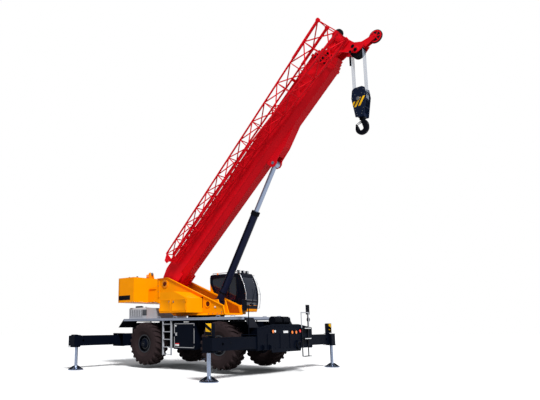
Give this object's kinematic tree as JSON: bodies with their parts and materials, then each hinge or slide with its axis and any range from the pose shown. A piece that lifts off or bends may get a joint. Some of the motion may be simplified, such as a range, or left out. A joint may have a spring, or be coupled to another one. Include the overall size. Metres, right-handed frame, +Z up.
{
  "type": "rough-terrain mobile crane",
  "caption": "Wheeled crane on spread outriggers with a raised telescopic boom, side-stowed lattice jib, operator cab, counterweight and hanging hook block.",
  "frame": {"origin": "on the ground under the slewing axis", "axes": "+X towards the carrier's front, +Y to its left, +Z up along the slewing axis"},
  "size_m": [12.3472, 8.364, 12.3477],
  "materials": {
    "carrier_black": "semi-gloss black paint",
    "black_iron": "black painted iron",
    "deck_grey": "matt grey deck paint",
    "hood_grey": "light grey paint",
    "trim_black": "matt black",
    "lamp_orange": "orange lens",
    "amber_paint": "gloss amber-yellow paint",
    "cab_paint": "black cab frame paint",
    "cab_glass": "tinted glass",
    "boom_red": "gloss red paint",
    "sheave_black": "black cast sheave",
    "rod_chrome": "hard chromed rod",
    "rope_steel": "greased steel rope",
    "block_navy": "dark navy paint",
    "tyre_rubber": "worn tyre rubber"
  },
  "bodies": {
    "carrier": {"axle_housings": "black_iron", "chassis_frame": "carrier_black", "outrigger_boxes": "carrier_black", "deck": "deck_grey", "slew_ring": "black_iron", "engine_hood": "hood_grey", "engine_block": "black_iron", "exhaust": "black_iron", "left_tank": "carrier_black", "cabinet": "carrier_black", "ladder_and_steps": "hood_grey", "mirrors": "trim_black", "nose_cylinders": "trim_black", "lamps": "lamp_orange"},
    "cabinet_door": {"cabinet_door": "carrier_black"},
    "superstructure": {"turntable": "amber_paint", "counterweight": "amber_paint", "toolbox": "amber_paint", "cab_shell": "cab_paint", "cab_glass": "cab_glass", "operator_seat": "trim_black"},
    "main_winch": {"main_winch": "black_iron"},
    "aux_winch": {"aux_winch": "black_iron"},
    "toolbox_door_rear": {"toolbox_door_rear": "amber_paint"},
    "toolbox_door_front": {"toolbox_door_front": "amber_paint"},
    "cab_door": {"cab_door": "cab_paint"},
    "boom": {"boom_base": "boom_red", "jib": "boom_red"},
    "section_2": {"boom_section_2": "boom_red"},
    "section_3": {"boom_section_3": "boom_red"},
    "section_4": {"boom_section_4": "boom_red", "boom_head": "boom_red", "head_sheaves": "sheave_black"},
    "lift_rod": {"lift_rod": "rod_chrome"},
    "lift_barrel": {"lift_barrel": "trim_black"},
    "hook_falls": {"hook_ropes": "rope_steel", "hook_block": "block_navy"},
    "hook": {"hook": "black_iron"},
    "knuckle_front_left": {"knuckle_front_left": "black_iron"},
    "wheel_front_left": {"tyre_front_left": "tyre_rubber", "rim_front_left": "carrier_black"},
    "beam_front_left": {"outrigger_beam_front_left": "carrier_black"},
    "jack_front_left": {"outrigger_jack_front_left": "rod_chrome"},
    "knuckle_front_right": {"knuckle_front_right": "black_iron"},
    "wheel_front_right": {"tyre_front_right": "tyre_rubber", "rim_front_right": "carrier_black"},
    "beam_front_right": {"outrigger_beam_front_right": "carrier_black"},
    "jack_front_right": {"outrigger_jack_front_right": "rod_chrome"},
    "knuckle_rear_left": {"knuckle_rear_left": "black_iron"},
    "wheel_rear_left": {"tyre_rear_left": "tyre_rubber", "rim_rear_left": "carrier_black"},
    "beam_rear_left": {"outrigger_beam_rear_left": "carrier_black"},
    "jack_rear_left": {"outrigger_jack_rear_left": "rod_chrome"},
    "knuckle_rear_right": {"knuckle_rear_right": "black_iron"},
    "wheel_rear_right": {"tyre_rear_right": "tyre_rubber", "rim_rear_right": "carrier_black"},
    "beam_rear_right": {"outrigger_beam_rear_right": "carrier_black"},
    "jack_rear_right": {"outrigger_jack_rear_right": "rod_chrome"}
  },
  "joints": [
    {"name": "slew", "type": "hinge", "parent": "carrier", "child": "superstructure", "pos_m": [0, 0, 2.12], "axis": [0, 0, 1], "continuous": true},
    {"name": "luff", "type": "hinge", "parent": "superstructure", "child": "boom", "pos_m": [-1.9, 0, 3.52], "axis": [0, -1, 0], "range_deg": [-43.6, 36.4]},
    {"name": "lift_rod_pin", "type": "hinge", "parent": "boom", "child": "lift_rod", "pos_m": [3.65263, 0, 7.86869], "axis": [0, -1, 0], "range_deg": [-14.63, 12.25]},
    {"name": "lift_stroke", "type": "slide", "parent": "lift_rod", "child": "lift_barrel", "axis": [-0.4924, 0, -0.8704], "range_m": [-1.582, 1.323]},
    {"name": "telescope_2", "type": "slide", "parent": "boom", "child": "section_2", "axis": [0.7242, 0, 0.6896], "range_m": [0, 8.2]},
    {"name": "telescope_3", "type": "slide", "parent": "section_2", "child": "section_3", "axis": [0.7242, 0, 0.6896], "range_m": [0, 8.2]},
    {"name": "telescope_4", "type": "slide", "parent": "section_3", "child": "section_4", "axis": [0.7242, 0, 0.6896], "range_m": [0, 8.2]},
    {"name": "hook_swing", "type": "hinge", "parent": "section_4", "child": "hook_falls", "pos_m": [7.2452, 0, 11.17248], "axis": [0, 1, 0], "range_deg": [-43.7, 36.5]},
    {"name": "hook_swivel", "type": "hinge", "parent": "hook_falls", "child": "hook", "pos_m": [7.2452, 0, 8.77248], "axis": [0, 0, 1], "continuous": true},
    {"name": "main_winch_turn", "type": "hinge", "parent": "superstructure", "child": "main_winch", "pos_m": [-2.69, 0, 3.13], "axis": [0, 1, 0], "continuous": true},
    {"name": "aux_winch_turn", "type": "hinge", "parent": "superstructure", "child": "aux_winch", "pos_m": [-2.16, 0, 2.95], "axis": [0, 1, 0], "continuous": true},
    {"name": "cab_door_hinge", "type": "hinge", "parent": "superstructure", "child": "cab_door", "pos_m": [-0.18, 1.5, 3.05], "axis": [0, 0, 1], "range_deg": [0, 90]},
    {"name": "toolbox_rear_hinge", "type": "hinge", "parent": "superstructure", "child": "toolbox_door_rear", "pos_m": [-1.234, -1.5133, 2.53], "axis": [0, 0, -1], "range_deg": [0, 100]},
    {"name": "toolbox_front_hinge", "type": "hinge", "parent": "superstructure", "child": "toolbox_door_front", "pos_m": [0.274, -1.5133, 2.53], "axis": [0, 0, 1], "range_deg": [0, 100]},
    {"name": "cabinet_hinge", "type": "hinge", "parent": "carrier", "child": "cabinet_door", "pos_m": [0.745, -1.5053, 1.33], "axis": [0, 0, 1], "range_deg": [0, 90]},
    {"name": "steer_front_left", "type": "hinge", "parent": "carrier", "child": "knuckle_front_left", "pos_m": [2.015, 1.08, 0.996], "axis": [0, 0, 1], "range_deg": [-25, 25]},
    {"name": "roll_front_left", "type": "hinge", "parent": "knuckle_front_left", "child": "wheel_front_left", "pos_m": [2.015, 1.345, 0.996], "axis": [0, 1, 0], "continuous": true},
    {"name": "extend_front_left", "type": "slide", "parent": "carrier", "child": "beam_front_left", "axis": [0, -1, 0], "range_m": [0, 1.95]},
    {"name": "jack_front_left", "type": "slide", "parent": "beam_front_left", "child": "jack_front_left", "axis": [0, 0, 1], "range_m": [0, 0.35]},
    {"name": "steer_front_right", "type": "hinge", "parent": "carrier", "child": "knuckle_front_right", "pos_m": [2.015, -1.08, 0.996], "axis": [0, 0, 1], "range_deg": [-25, 25]},
    {"name": "roll_front_right", "type": "hinge", "parent": "knuckle_front_right", "child": "wheel_front_right", "pos_m": [2.015, -1.345, 0.996], "axis": [0, 1, 0], "continuous": true},
    {"name": "extend_front_right", "type": "slide", "parent": "carrier", "child": "beam_front_right", "axis": [0, 1, 0], "range_m": [0, 1.95]},
    {"name": "jack_front_right", "type": "slide", "parent": "beam_front_right", "child": "jack_front_right", "axis": [0, 0, 1], "range_m": [0, 0.35]},
    {"name": "steer_rear_left", "type": "hinge", "parent": "carrier", "child": "knuckle_rear_left", "pos_m": [-2.025, 1.08, 0.996], "axis": [0, 0, 1], "range_deg": [-25, 25]},
    {"name": "roll_rear_left", "type": "hinge", "parent": "knuckle_rear_left", "child": "wheel_rear_left", "pos_m": [-2.025, 1.345, 0.996], "axis": [0, 1, 0], "continuous": true},
    {"name": "extend_rear_left", "type": "slide", "parent": "carrier", "child": "beam_rear_left", "axis": [0, -1, 0], "range_m": [0, 1.95]},
    {"name": "jack_rear_left", "type": "slide", "parent": "beam_rear_left", "child": "jack_rear_left", "axis": [0, 0, 1], "range_m": [0, 0.35]},
    {"name": "steer_rear_right", "type": "hinge", "parent": "carrier", "child": "knuckle_rear_right", "pos_m": [-2.025, -1.08, 0.996], "axis": [0, 0, 1], "range_deg": [-25, 25]},
    {"name": "roll_rear_right", "type": "hinge", "parent": "knuckle_rear_right", "child": "wheel_rear_right", "pos_m": [-2.025, -1.345, 0.996], "axis": [0, 1, 0], "continuous": true},
    {"name": "extend_rear_right", "type": "slide", "parent": "carrier", "child": "beam_rear_right", "axis": [0, 1, 0], "range_m": [0, 1.95]},
    {"name": "jack_rear_right", "type": "slide", "parent": "beam_rear_right", "child": "jack_rear_right", "axis": [0, 0, 1], "range_m": [0, 0.35]}
  ],
  "couplings": [
    {"joint": "lift_rod_pin", "follows": "luff", "ratio": 0.331},
    {"joint": "lift_stroke", "follows": "luff", "m_per_rad": 2.066},
    {"joint": "hook_swing", "follows": "luff", "ratio": 1}
  ]
}
